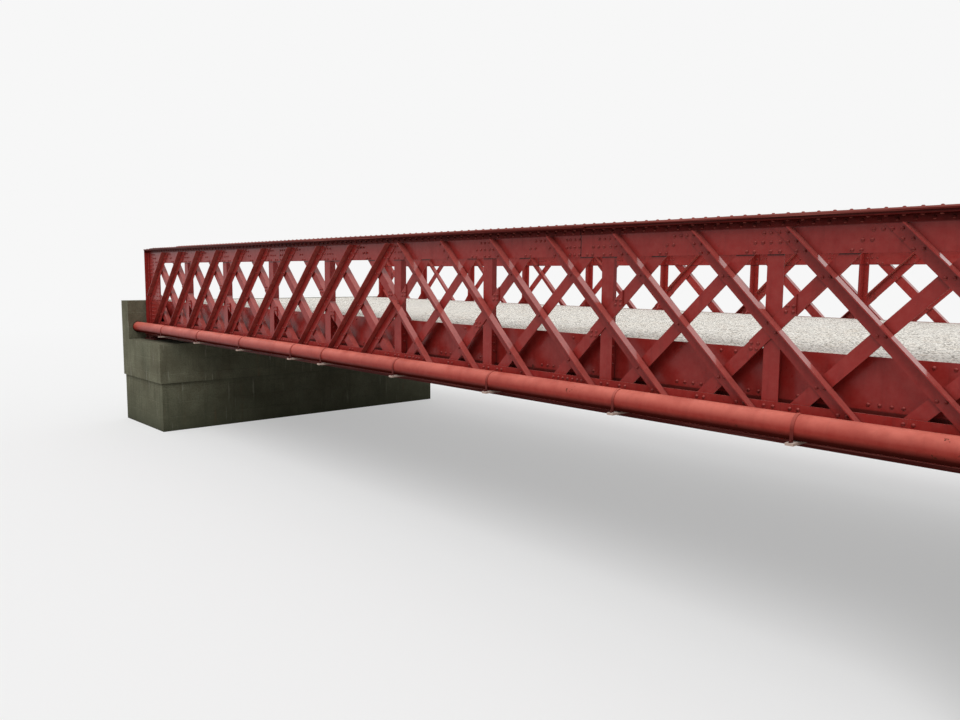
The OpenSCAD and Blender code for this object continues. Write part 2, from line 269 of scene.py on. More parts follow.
def make_camera():
    """Stands where the photograph was taken from."""
    camera = bpy.data.objects.new("camera", bpy.data.cameras.new("camera"))
    scene.collection.objects.link(camera)
    camera.location = CAMERA_PLACE
    turn = Euler((math.radians(90 - CAMERA_DOWN), 0, math.radians(CAMERA_TURN)), "XYZ")
    roll = Euler((0, 0, math.radians(CAMERA_ROLL)), "XYZ")
    camera.rotation_euler = (turn.to_matrix() @ roll.to_matrix()).to_euler()
    camera.data.sensor_width = SENSOR
    camera.data.lens = FOCAL_PIXELS * SENSOR / IMAGE_WIDTH
    camera.data.clip_end = CLIP_END
    scene.camera = camera


class Graph:
    """Builds one material's nodes."""

    def __init__(self, name):
        self.material = bpy.data.materials.new(name)
        self.material.use_nodes = True
        self.tree = self.material.node_tree
        self.shader = self.tree.nodes["Principled BSDF"]
        self.place = self.add("TexCoord").outputs["Object"]

    def add(self, kind, sockets=None, **settings):
        """One node, with its settings, and its sockets set or linked."""
        made = self.tree.nodes.new("ShaderNode" + kind)
        for key, value in settings.items():
            setattr(made, key, value)
        for key, value in (sockets or {}).items():
            self.put(made.inputs[key], value)
        return made

    def put(self, socket, value):
        if isinstance(value, bpy.types.NodeSocket):
            self.tree.links.new(value, socket)
        else:
            socket.default_value = value

    def noise(self, scale, detail=4.0, rough=0.55, stretch=(1, 1, 1), shift=(0, 0, 0)):
        moved = self.add("Mapping", {"Vector": self.place, "Scale": stretch, "Location": shift})
        made = self.add("TexNoise", {"Vector": moved.outputs[0], "Scale": scale, "Detail": detail,
                                     "Roughness": rough})
        return made.outputs["Fac"]

    def cells(self, scale, shift=(0, 0, 0)):
        """Pebbles: a random number for each cell, and the distance to the cell's middle."""
        moved = self.add("Mapping", {"Vector": self.place, "Location": shift})
        made = self.add("TexVoronoi", {"Vector": moved.outputs[0], "Scale": scale})
        chance = self.add("SeparateColor", {"Color": made.outputs["Color"]}).outputs[0]
        return chance, made.outputs["Distance"]

    def spread(self, value, low, high, to_low=0.0, to_high=1.0):
        """Maps the range from low to high onto another one, and clamps what lies outside it."""
        made = self.add("MapRange", {"Value": value, "From Min": low, "From Max": high,
                                     "To Min": to_low, "To Max": to_high})
        return made.outputs["Result"]

    def math(self, operation, first, second=0.0):
        made = self.add("Math", operation=operation)
        self.put(made.inputs[0], first)
        self.put(made.inputs[1], second)
        return made.outputs[0]

    def times(self, *values):
        result = values[0]
        for value in values[1:]:
            result = self.math("MULTIPLY", result, value)
        return result

    def mix(self, amount, first, second):
        made = self.add("Mix", data_type="RGBA")
        self.put(made.inputs[0], amount)
        self.put(made.inputs[6], first)
        self.put(made.inputs[7], second)
        return made.outputs[2]

    def facing(self, axis, low, high):
        """Rises from 0 to 1 between two shares of how far the surface faces along an axis."""
        normal = self.add("NewGeometry").outputs["Normal"]
        part = self.add("SeparateXYZ", {"Vector": normal}).outputs[axis]
        return self.spread(part, low, high)

    def part(self, axis):
        return self.add("SeparateXYZ", {"Vector": self.place}).outputs[axis]

    def along(self, axis, low, high):
        """Rises from 0 to 1 between two places along an axis."""
        return self.spread(self.part(axis), low, high)

    def off_middle(self, low, high):
        """Rises from 0 to 1 between two distances from the bridge's middle line."""
        return self.spread(self.math("ABSOLUTE", self.part("Y")), low, high)

    def band(self, low, high, soft):
        """One between two heights, fading to zero outside them."""
        return self.times(self.along("Z", low - soft, low), self.along("Z", high + soft, high))

    def crevice(self, reach):
        """One in corners and beside things that stand proud, where little light reaches, zero on open
        faces; it places painted shade.
        """
        made = self.add("AmbientOcclusion", {"Distance": reach}, samples=4)
        return self.spread(made.outputs["AO"], 0.85, 0.35)

    def seen_directly(self):
        """One for the camera's rays and for those mirrored or passed by glossy things."""
        path = self.add("LightPath")
        seen = self.math("MAXIMUM", path.outputs["Is Camera Ray"], path.outputs["Is Glossy Ray"])
        return self.math("MAXIMUM", seen, path.outputs["Is Transmission Ray"])

    def bump(self, layers):
        """Adds bumps, each given as (height socket, distance in metres, strength)."""
        last = None
        for socket, distance, strength in layers:
            made = self.add("Bump", {"Height": socket, "Distance": distance, "Strength": strength})
            if last:
                self.put(made.inputs["Normal"], last)
            last = made.outputs["Normal"]
        self.put(self.shader.inputs["Normal"], last)


def chipped(graph, rust_share):
    """One where the paint has chipped, which it has in some places more than in others."""
    chips = graph.noise(11, 9, 0.72, shift=(5, 5, 1))
    where = graph.spread(graph.noise(1.7, 3, shift=(1, 8, 2)), 0.45, 0.7, 0.0, 0.16)
    level = graph.math("ADD", chips, where)
    return graph.spread(level, 0.76 - rust_share, 0.80 - rust_share)


def add_gloss(graph, lit, coat, top_coat, girder):
    """Specular level and coat, which both fade on faces that look down and on a girder's dull places."""
    lit_side = graph.facing("Z", lit[0], lit[1])
    if girder:
        matt = graph.math("MAXIMUM", plate_edges(graph), under_top_flange(graph))
        lit_side = graph.times(lit_side, graph.spread(matt, 0.0, 1.0, 1.0, MATT_SHARE))
    graph.put(graph.shader.inputs["Specular IOR Level"], graph.times(lit_side, SPECULAR))
    washed = graph.math("ADD", graph.times(graph.facing("Z", 0.25, 0.55), top_coat), coat)
    graph.put(graph.shader.inputs["Coat Weight"], graph.times(lit_side, washed))
    graph.shader.inputs["Coat Roughness"].default_value = COAT_ROUGHNESS


def painted_steel(name, base, faded_and_highlight, grime_and_shade, rust_share=0.0, gloss=(0.3, 0.45), top=(0.25, 0.95),
                  under=(-0.8, -1.0), under_shade_share=0.6, streaks=0.55, coat=0.0, top_coat=0.0,
                  lit=(-0.95, -0.5), dark_below=0.0, girder=False):
    """Old brushed paint: paler on top with fading and a painted highlight, painted shade on faces that look
    down, streaked with dirt, with rust where it has chipped.

    gloss is the range of the roughness. top, under and lit say how far a face looks up where it
    starts to be paler, darker or glossy, and where it is so in full; paler is fading and a painted
    highlight, darker is painted shade. top_coat lies on faces that look up, over the coat that lies
    everywhere. dark_below is the share of painted shade at the height of the pipe's underside, which
    fades out above the pipe's middle.
    """
    graph = Graph(name)

    # Worn and fading places; faces that look up are paler, with fading and a painted highlight
    broad = graph.spread(graph.noise(0.9, 3), 0.35, 0.65)
    fine = graph.spread(graph.noise(14, 6, 0.65, shift=(3, 1, 7)), 0.3, 0.7)
    worn = tuple(channel * WORN_SHARE for channel in base[:3]) + (1.0,)
    colour = graph.mix(graph.times(broad, 0.5), base, worn)
    colour = graph.mix(graph.times(fine, 0.10), colour, faded_and_highlight)
    patchy = graph.spread(graph.noise(3.5, 5, shift=(9, 2, 4)), 0.3, 0.6, 0.45, 0.95)
    colour = graph.mix(graph.times(graph.facing("Z", top[0], top[1]), patchy), colour, faded_and_highlight)

    # Dirt streaks, and painted shade on faces that look down and below the pipe's middle
    streak = graph.spread(graph.noise(6, 5, 0.6, stretch=(3.2, 3.2, 0.22)), 0.52, 0.74)
    dirty = graph.times(streak, streaks)
    colour = graph.mix(dirty, colour, grime_and_shade)
    colour = graph.mix(graph.times(graph.facing("Z", under[0], under[1]), under_shade_share), colour, grime_and_shade)
    if dark_below:
        low = graph.along("Z", PIPE_Z + PIPE_R / 2, PIPE_Z - PIPE_R)
        colour = graph.mix(graph.times(low, dark_below), colour, grime_and_shade)
    if girder:
        colour = girder_dirt(graph, colour, faded_and_highlight, grime_and_shade)

    # Rust
    chip = chipped(graph, rust_share)
    rust = graph.mix(graph.noise(60, 4), RUST, DARK_RUST)
    graph.put(graph.shader.inputs["Base Color"], graph.mix(chip, colour, rust))

    # Gloss and brush marks
    shine = graph.spread(graph.noise(9, 4, shift=(2, 2, 9)), 0.3, 0.7, gloss[0], gloss[1])
    dull = graph.math("MAXIMUM", chip, dirty)
    dull = graph.math("MAXIMUM", dull, graph.facing("Z", -0.5, -0.95))
    graph.put(graph.shader.inputs["Roughness"], graph.mix(dull, shine, DULL))
    add_gloss(graph, lit, coat, top_coat, girder)
    brush = graph.noise(55, 3, 0.5, stretch=(1, 1, 2.5))
    graph.bump([(graph.noise(16, 6, 0.6), 0.0012, 0.5), (brush, 0.0005, 0.4), (chip, -0.0006, 0.7)])
    return graph.material


def under_top_flange(graph):
    """One on the top angles' upright legs, which the flange shades."""
    over_edge = 0.004
    into_plate = 0.001
    soft = 0.006
    return graph.band(TOP_PLATE_Z - ANGLE_RISE + over_edge, TOP_PLATE_Z + into_plate, soft)


def plate_edges(graph):
    """One on the edges of the flange plates, above the top angles and under the bottom ones."""
    soft = 0.002
    top = graph.along("Z", TOP_PLATE_Z, TOP_PLATE_Z + soft)
    bottom = graph.along("Z", BOTTOM_PLATE_Z, BOTTOM_PLATE_Z - soft)
    return graph.math("MAXIMUM", top, bottom)


def foot_of_side_plates(graph):
    """One on the strip of the deck's side plates that shows just over the bottom web, where the shade in
    that slit is painted.
    """
    past_posts = 0.10
    at_plates = 0.14
    dark_to = 0.002
    clean_from = 0.016
    inside = graph.off_middle(HALF_GAUGE - past_posts, HALF_GAUGE - at_plates)
    return graph.times(inside, graph.along("Z", BOTTOM_WEB_Z + clean_from, BOTTOM_WEB_Z + dark_to))


def slit_under_top_web(graph):
    """One behind the top web's lower edge, in a thin line, where that edge's shadow is painted."""
    line_h = 0.008
    soft = 0.001
    behind = graph.off_middle(HALF_GAUGE - WEB_FACE + soft, HALF_GAUGE - WEB_FACE)
    return graph.times(behind, graph.band(TOP_WEB_Z - line_h, TOP_WEB_Z, soft))


def joint_line(graph):
    """One in a thin upright line at each of the top web's joints."""
    half_w = 0.005
    faded_w = 0.007
    soft = 0.001
    from_middle = graph.math("ABSOLUTE", graph.part("X"))
    from_joint = graph.math("ABSOLUTE", graph.math("SUBTRACT", from_middle, TOP_JOINT))
    on_web = graph.along("Z", TOP_WEB_Z - soft, TOP_WEB_Z)
    return graph.times(graph.spread(from_joint, faded_w, half_w), on_web)


def girder_dirt(graph, colour, faded_and_highlight, grime_and_shade):
    """Dirt where a girder holds it, painted shade where its parts shade each other, paler paint where it
    has weathered, and a painted sheen.
    """
    blotch = graph.spread(graph.noise(5, 5, 0.65, shift=(6, 6, 6)), 0.3, 0.65, 0.45, 1.0)
    shade = graph.spread(blotch, 0.45, 1.0, 0.48, 0.70)
    # Painted shade under the top flange, in the slit over the bottom web and under the top web's lower
    # edge; dark lines at the web's joints
    colour = graph.mix(graph.times(under_top_flange(graph), shade), colour, FLANGE_SHADE)
    colour = graph.mix(graph.times(foot_of_side_plates(graph), 0.7), colour, FOOT_SHADE)
    colour = graph.mix(graph.times(slit_under_top_web(graph), 0.9), colour, SLIT_SHADOW)
    colour = graph.mix(graph.times(joint_line(graph), 0.85), colour, JOINT_DIRT)

    # The flange plates' edges, with paler lines along them, and the covers on top, paler with fading and a
    # painted highlight
    edges = plate_edges(graph)
    lines = graph.spread(graph.noise(1.0, 5, 0.6, stretch=(0.7, 0.7, 90)), 0.52, 0.66)
    colour = graph.mix(graph.times(edges, 0.75), colour, grime_and_shade)
    colour = graph.mix(graph.times(edges, lines, 0.4), colour, faded_and_highlight)
    soft = 0.002
    crown = graph.along("Z", COVERS_Z - soft, COVERS_Z + soft)
    colour = graph.mix(graph.times(crown, 0.36), colour, faded_and_highlight)

    # Painted shade and dirt in corners, but less on the undersides of leaning bars, which get a painted
    # sheen, paler in patches
    leaning = graph.times(graph.facing("Z", -0.35, -0.6), graph.facing("Z", -0.97, -0.85))
    corner_shade_and_grime = graph.times(graph.crevice(0.05), blotch, graph.spread(leaning, 0.0, 1.0, 0.6, 0.1))
    colour = graph.mix(corner_shade_and_grime, colour, grime_and_shade)
    sheen_patches = graph.spread(graph.noise(8, 5, 0.6, shift=(2, 4, 8)), 0.3, 0.65, 0.25, 0.75)
    return graph.mix(graph.times(leaning, sheen_patches), colour, UNDERSIDE_SHEEN)


def deck_concrete():
    """Pale concrete with its chippings laid bare, a little darker where dirt gathers."""
    graph = Graph("deck_concrete")
    chance, middle = graph.cells(64)
    small_chance, small_middle = graph.cells(120, shift=(3, 1, 0))

    # Chippings, and the gaps between them
    broad = graph.spread(graph.noise(0.7, 4), 0.3, 0.7)
    colour = graph.mix(broad, DECK_PALE, DECK_WORN)
    colour = graph.mix(graph.spread(chance, 0.22, 0.18), colour, DARK_CHIPPING)
    colour = graph.mix(graph.spread(chance, 0.66, 0.84, 0.0, 0.95), colour, PALE_CHIPPING)
    colour = graph.mix(graph.spread(small_chance, 0.22, 0.12, 0.0, 0.6), colour, SMALL_CHIPPING)
    colour = graph.mix(graph.spread(middle, 0.6, 0.85, 0.0, 0.3), colour, DECK_GAP)

    # Tint, and dirt towards the edges and on the slab's sides
    tinted = graph.spread(graph.noise(9, 3, shift=(5, 2, 0)), 0.55, 0.7, 0.0, 0.3)
    colour = graph.mix(tinted, colour, DECK_TINT)
    edge = graph.times(graph.off_middle(DECK_DIRT_FROM, DECK_DIRT_FULL),
                       graph.spread(graph.noise(3, 5), 0.3, 0.7))
    colour = graph.mix(graph.times(edge, 0.35), colour, DECK_DIRT)
    side = graph.math("SUBTRACT", 1.0, graph.facing("Z", 0.2, 0.7))
    colour = graph.mix(graph.times(side, 0.75), colour, DECK_SIDE)

    graph.put(graph.shader.inputs["Base Color"], colour)
    graph.shader.inputs["Roughness"].default_value = 0.92
    graph.shader.inputs["Specular IOR Level"].default_value = 0.15
    graph.bump([(middle, -0.004, 0.8), (small_middle, -0.002, 0.5), (graph.noise(4, 4), 0.01, 0.3)])
    return graph.material


def wall_concrete():
    """Old cast concrete: boarded face, lime and rust streaks, dark and green at its foot."""
    graph = Graph("wall_concrete")
    broad = graph.spread(graph.noise(1.1, 5, 0.6), 0.3, 0.7)
    colour = graph.mix(broad, WALL_PALE, WALL_WORN)
    pores = graph.noise(42, 7, 0.75)
    colour = graph.mix(graph.spread(pores, 0.45, 0.7, 0.0, 0.7), colour, WALL_PORE)

    # Streaks that run down, blots, lime and rust
    streak = graph.noise(4, 6, 0.65, stretch=(2.6, 2.6, 0.16), shift=(2, 7, 0))
    colour = graph.mix(graph.spread(streak, 0.52, 0.74, 0.0, 0.45), colour, WALL_STREAK)
    blot = graph.noise(1.7, 6, 0.65, shift=(4, 9, 2))
    colour = graph.mix(graph.spread(blot, 0.42, 0.66, 0.0, 0.55), colour, WALL_BLOT)
    lime = graph.noise(5, 5, 0.6, stretch=(2.2, 2.2, 0.2), shift=(8, 3, 0))
    colour = graph.mix(graph.spread(lime, 0.62, 0.74, 0.0, 0.6), colour, WALL_LIME)
    stain = graph.noise(2.4, 5, 0.6, stretch=(2.0, 2.0, 0.3), shift=(1, 5, 0))
    colour = graph.mix(graph.spread(stain, 0.64, 0.76, 0.0, 0.5), colour, WALL_STAIN)

    # The damp foot, and painted shade in corners
    foot = graph.along("Z", WALL_FOOT_TOP, 0.0)
    colour = graph.mix(graph.times(foot, 0.7), colour, WALL_FOOT)
    colour = graph.mix(graph.times(graph.crevice(0.12), 0.5), colour, WALL_CORNER_SHADE)

    graph.put(graph.shader.inputs["Base Color"], colour)
    graph.shader.inputs["Roughness"].default_value = 0.93
    graph.shader.inputs["Specular IOR Level"].default_value = 0.2
    boards = graph.add("TexWave", {"Vector": graph.place, "Scale": 1.05, "Distortion": 0.15},
                       bands_direction="Z", wave_profile="SAW").outputs["Fac"]
    seam = graph.spread(boards, 0.94, 1.0)
    graph.bump([(pores, 0.006, 0.6), (graph.noise(7, 4), 0.01, 0.4), (seam, -0.008, 0.6)])
    return graph.material


class Heads:
    """Collects rivet heads, nuts or rods of one shape and joins them into one mesh."""

    def __init__(self, name, outline, sides, smooth):
        self.name = name
        self.outline = outline
        self.sides = sides
        self.smooth = smooth
        self.points = []
        self.faces = []

    def add(self, centre, out, radius, rise):
        """One head that stands at a point of a surface and points outward from it."""
        centre, out = Vector(centre), Vector(out)
        first = out.orthogonal().normalized()
        second = out.cross(first)
        start = len(self.points)
        turn = random.uniform(0, math.tau)
        for ring, lift in self.outline:
            for i in range(self.sides):
                angle = turn + math.tau * i / self.sides
                around = first * math.cos(angle) + second * math.sin(angle)
                self.points.append(centre + around * radius * ring + out * rise * lift)
        for ring in range(len(self.outline) - 1):
            for i in range(self.sides):
                a = start + ring * self.sides + i
                b = start + ring * self.sides + (i + 1) % self.sides
                self.faces.append((a, b, b + self.sides, a + self.sides))
        last = start + (len(self.outline) - 1) * self.sides
        self.faces.append(tuple(last + i for i in range(self.sides)))

    def finish(self, material):
        mesh = bpy.data.meshes.new(self.name)
        mesh.from_pydata(self.points, [], self.faces)
        mesh.validate()
        mesh.polygons.foreach_set("use_smooth", [self.smooth] * len(mesh.polygons))
        mesh.materials.append(material)
        piece = bpy.data.objects.new(self.name, mesh)
        scene.collection.objects.link(piece)
        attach(piece, "root")


class Girder:
    """Puts rivet heads on one girder, never two in one place."""

    def __init__(self, heads, side):
        self.heads = heads
        self.side = side
        self.rows = {}

    def put(self, x, depth, z, axis, way):
        """One head; axis is 0 along the span, 1 across it (way -1 outward) and 2 for up or down."""
        row = self.rows.setdefault((round(depth, 3), round(z, 3), axis, way), [])
        if any(abs(x - other) < HEAD_CLEAR for other in row):
            return
        row.append(x)
        out = [(way, 0, 0), (0, self.side * way, 0), (0, 0, way)][axis]
        self.heads.add((x, self.side * (NEAR_Y + depth), BASE_Z + z), out, HEAD_R, HEAD_H)


def strut_list():
    """Outer diagonals as (way, place at mid height); way 1 rises to the right."""
    right_half = [(-1, m * STEP) for m in range(BAYS + 1)]
    left_half = [(1, -m * STEP) for m in range(BAYS + 1)]
    return right_half + left_half


def tie_list():
    """Inner diagonals as (way, place at mid height)."""
    return [(-way, at) for way, at in strut_list()]


def top_rows():
    return [TOP_WEB_LOW + TOP_FIRST_ROW + i * ROW_STEP for i in range(ROWS)]


def bottom_rows():
    return [BOTTOM_WEB_TOP - BOTTOM_FIRST_ROW - i * ROW_STEP for i in range(ROWS)]


def span_steps(pitch, half, shift=0.0):
    """Even steps along the span, centred on the middle."""
    count = int(half / pitch) + 1
    return [i * pitch + shift for i in range(-count, count + 1) if abs(i * pitch + shift) < half]


def covered(x, z, bars):
    """Whether a head at this place would touch a bar's flat leg; bars at mid span count on both halves."""
    half = DIAGONAL_FLAT / 2 + HEAD_R
    return any(abs(x - at - way * (z - WEB_MID) * RUN) / SLANT < half and (not at or x * at >= 0)
               for way, at in bars)


def has_heads(x, way, at):
    """Whether a bar gets heads at x: on its own half, but way -1 on both halves for the two at mid span."""
    return x * at >= 0 if at else way < 0


def near_post(x, reach):
    return abs(x - BAY * round(x / BAY)) < reach


def near_saddle(x):
    return any(abs(x - place) < SADDLE_L / 2 + HEAD_R for place in SADDLE_PLACES)


def cover_half(name, level):
    """Half length of the cover plate whose upper face lies at a height."""
    return max(v.co.x for v in nodes[name].data.vertices if abs(v.co.z - level) < LEVEL_SLACK)


UPPER_HALF = cover_half("near_top_cover", BASE_Z + GIRDER_H)
LOWER_HALF = cover_half("near_top_cover", BASE_Z + GIRDER_H - 2 * PLATE_T)


def flange_rivets(girder):
    """Rows through the flange plates and the chord angles."""
    for depth, shift in ((-FLANGE_LINE, 0.0), (FLANGE_LINE, PITCH / 2)):
        for x in span_steps(PITCH, HALF_L - FLANGE_END, shift):
            plates_off = 0 if abs(x) < UPPER_HALF else 1 if abs(x) < LOWER_HALF else 2
            girder.put(x, depth, GIRDER_H - plates_off * PLATE_T, 2, 1)
            girder.put(x, depth, 0.0, 2, -1)
            if abs(x) > END_REACH or (depth > 0 and near_post(x, STEM_REACH)):
                continue
            girder.put(x, depth, TOP_PLATE_LOW - ANGLE_T, 2, -1)
            if depth > 0 or girder.side < 0 or not near_saddle(x):
                girder.put(x, depth, BOTTOM_PLATE_TOP + ANGLE_T, 2, 1)
    for x in span_steps(PITCH, END_REACH, PITCH / 2):
        for z in (TOP_PLATE_LOW - ANGLE_RISE * LEG_SHARE, BOTTOM_PLATE_TOP + ANGLE_RISE * LEG_SHARE):
            girder.put(x, -WEB_FACE - ANGLE_T, z, 1, -1)
            if not near_post(x, STEM_REACH):
                girder.put(x, WEB_FACE + ANGLE_T, z, 1, 1)


def web_head(girder, x, z, struts, ties):
    """A rivet through a chord's web alone, shown on both faces where no bar lies."""
    if not covered(x, z, struts):
        girder.put(x, -WEB_FACE, z, 1, -1)
    if not covered(x, z, ties) and not near_post(x, POST_REACH):
        girder.put(x, WEB_FACE, z, 1, 1)


def post_head(girder, x, z, struts):
    """A rivet through a post's flange and the web, shown outside where no bar lies."""
    girder.put(x, WEB_FACE + POST_T, z, 1, 1)
    if not covered(x, z, struts):
        girder.put(x, -WEB_FACE, z, 1, -1)


def bar_rivets(girder, struts, ties):
    """Pairs that hold diagonals and posts to the chord webs."""
    for z in top_rows() + bottom_rows():
        for bars, others, face in ((struts, ties, -1), (ties, struts, 1)):
            for way, at in bars:
                shifted = way * LINE_SHIFT if face == -1 or z > WEB_MID else 0.0
                centre = at + way * (z - WEB_MID) * RUN + shifted
                for x in (centre - PAIR, centre + PAIR):
                    at_post = near_post(x, POST_REACH)
                    if abs(x) > END_REACH or not has_heads(x, way, at) or (face == 1 and at_post):
                        continue
                    girder.put(x, face * (WEB_FACE + DIAGONAL_T), z, 1, face)
                    if not at_post and not covered(x, z, others):
                        girder.put(x, -face * WEB_FACE, z, 1, -face)
        for k in range(-HALF_BAYS, HALF_BAYS + 1):
            for dx in (-POST_PAIR, POST_PAIR):
                post_head(girder, k * BAY + dx, z, struts)


def crossing_rivets(girder):
    """Pairs where two diagonals cross away from a post."""
    for side in (-1, 1):
        for i in range(BAYS):
            places = [((i + 0.5) * STEP, WEB_MID + way * STEP_RISE / 2) for way in (-1, 1)]
            if i % 2 == 1:
                places.append((i * STEP, WEB_MID))
            for x, z in places:
                if x > HALF_L - END_PLATE_L:
                    continue
                for dx in (-CROSSING_PAIR, CROSSING_PAIR):
                    for face in (-1, 1):
                        depth = face * (WEB_FACE + DIAGONAL_T)
                        girder.put(side * x + dx, depth, z - CROSSING_DROP, 1, face)


def splice_rivets(girder):
    """Groups on the plates that carry an inner diagonal past a post."""
    for k in range(1 - HALF_BAYS, HALF_BAYS):
        for way in (-1, 1) if k == 0 else (math.copysign(1, k),):
            for dx, dz in SPLICE_GROUP:
                for turn in (-1, 1):
                    x = k * BAY + turn * dx
                    z = WEB_MID + turn * way * dz
                    girder.put(x, -WEB_FACE, z, 1, -1)
                    girder.put(x, WEB_FACE + DIAGONAL_T, z, 1, 1)
            for turn in (-1, 1):
                x = k * BAY + turn * POST_PAIR
                z = WEB_MID - turn * way * POST_PAIR
                girder.put(x, -WEB_FACE - DIAGONAL_T, z, 1, -1)
                girder.put(x, WEB_FACE + POST_T, z, 1, 1)


def joint_rivets(girder, struts, ties):
    """Columns beside the chord webs' joints."""
    for side in (-1, 1):
        for z in top_rows():
            for back in TOP_JOINT_COLUMNS:
                web_head(girder, side * (TOP_JOINT - back), z, struts, ties)
        for z in bottom_rows():
            for i in range(LONG_ROW_COLUMNS):
                web_head(girder, side * (LONG_ROW_START + LONG_ROW_STEP * i), z, struts, ties)
            for off in BOTTOM_JOINT_COLUMNS:
                web_head(girder, BOTTOM_JOINT + side * off, z, struts, ties)


def end_rivets(girder, struts, ties):
    """Columns on the full-depth plates at the girder ends."""
    low = BOTTOM_WEB_TOP + END_ROW_INSET
    high = TOP_WEB_LOW - END_ROW_INSET
    for side in (-1, 1):
        for i in range(END_ROWS + 1):
            z = low + (high - low) * i / END_ROWS
            girder.put(side * (HALF_L - END_ANGLE_COLUMN), -WEB_FACE - END_ANGLE_OUT, z, 1, -1)
            girder.put(side * (HALF_L - END_ANGLE_COLUMN), WEB_FACE, z, 1, 1)
            for back in END_COLUMNS:
                web_head(girder, side * (HALF_L - back), z, struts, ties)
            for dx in (-POST_PAIR, POST_PAIR):
                post_head(girder, side * HALF_BAYS * BAY + dx, z, struts)


def deck_side_rivets(girder):
    """Rows on the deck's side plates, the knees and the posts' stems."""
    for side in (-1, 1):
        for k in range(HALF_BAYS):
            for place, half, z in SIDE_PAIRS:
                for dx in (-half, half):
                    girder.put(side * (k * BAY + place + dx), SIDE_FACE, z, 1, -1)
    for k in range(-HALF_BAYS, HALF_BAYS + 1):
        for way in (-1, 1):
            x = k * BAY + way * POST_T / 2
            for z in KNEE_ROWS:
                girder.put(x, POST_FACE - STEM_COLUMN, z, 0, way)
            girder.put(x, POST_FACE + KNEE_COLUMN, KNEE_ROWS[-1], 0, way)


def under_rivets(heads):
    """Rows under the cross girders and down the ends of their webs."""
    end_y = HALF_GAUGE - POST_FACE - CROSS_END_COLUMN
    for k in range(-HALF_BAYS, HALF_BAYS + 1):
        for dx in (-CROSS_LINE, CROSS_LINE):
            for i in range(-CROSS_HALF_COUNT, CROSS_HALF_COUNT + 1):
                heads.add((k * BAY + dx, i * CROSS_PITCH, CROSS_LOW), DOWN, HEAD_R, HEAD_H)
        for side in (-1, 1):
            for way in (-1, 1):
                for i in range(CROSS_END_HEADS):
                    z = CROSS_LOW + CROSS_END_FIRST + i * CROSS_END_STEP
                    heads.add((k * BAY + way * POST_T / 2, side * end_y, z), (way, 0, 0), HEAD_R, HEAD_H)


def make_rivets(paint, under):
    struts, ties = strut_list(), tie_list()
    for name, side in (("near_rivets", 1), ("far_rivets", -1)):
        random.seed(RIVET_SEED)
        heads = Heads(name, DOME, HEAD_SIDES, True)
        girder = Girder(heads, side)
        flange_rivets(girder)
        bar_rivets(girder, struts, ties)
        crossing_rivets(girder)
        splice_rivets(girder)
        joint_rivets(girder, struts, ties)
        end_rivets(girder, struts, ties)
        deck_side_rivets(girder)
        heads.finish(paint)
    heads = Heads("under_rivets", DOME, HEAD_SIDES, True)
    under_rivets(heads)
    heads.finish(under)


def strap_bolts():
    """Places beside the pipe's straps, on the saddles."""
    reach = PIPE_R + STRAP_T + STRAP_BOLT_OUT
    return [(x, PIPE_Y + way * reach, SADDLE_TOP) for x in SADDLE_PLACES for way in (-1, 1)]


def bearing_bolts():
    """Four places on each bearing's sole plate."""
    middle_x = HALF_L - END_PLATE_L / 2
    return [(sx * middle_x + dx, sy * HALF_GAUGE + dy, SHELF_Z + BEARING_SOLE_T)
            for sx in (-1, 1) for sy in (-1, 1)
            for dx in (-BEARING_BOLT_X, BEARING_BOLT_X) for dy in (-BEARING_BOLT_Y, BEARING_BOLT_Y)]


def make_bolts(name, places, nut, rod, material):
    """A nut and the rod's end that stands out of it at each place."""
    nuts = Heads(name + "_nuts", NUT, NUT_SIDES, False)
    rods = Heads(name + "_rods", ROD, HEAD_SIDES, False)
    for place in places:
        nuts.add(place, UP, *nut)
        rods.add(place, UP, *rod)
    nuts.finish(material)
    rods.finish(material)


def set_material(name, material):
    mesh = nodes[name].data
    mesh.materials.clear()
    mesh.materials.append(material)


def make_stage():
    """A pale floor that fades into the sky and throws little light up at the object."""
    mesh = bpy.data.meshes.new("floor")
    corners = [(x * FLOOR_REACH, y * FLOOR_REACH, 0) for x, y in ((-1, -1), (1, -1), (1, 1), (-1, 1))]
    mesh.from_pydata(corners, [], [(0, 1, 2, 3)])
    floor = bpy.data.objects.new("floor", mesh)
    scene.collection.objects.link(floor)
    graph = Graph("floor")
    seen = graph.seen_directly()
    graph.put(graph.shader.inputs["Base Color"], graph.mix(seen, FLOOR_LIGHT, FLOOR_SEEN))
    graph.shader.inputs["Roughness"].default_value = 0.95
    graph.shader.inputs["Specular IOR Level"].default_value = 0.0
    distance = graph.add("VectorMath", {0: graph.place}, operation="LENGTH").outputs["Value"]
    fade = graph.times(graph.spread(distance, FLOOR_NEAR, FLOOR_FAR, FLOOR_VEIL, 1.0), seen)
    sky = graph.add("Emission", {"Color": (1, 1, 1, 1), "Strength": SKY_SEEN}).outputs[0]
    blend = graph.add("MixShader", {0: fade, 1: graph.shader.outputs[0], 2: sky}).outputs[0]
    graph.put(graph.tree.nodes["Material Output"].inputs["Surface"], blend)
    mesh.materials.append(graph.material)


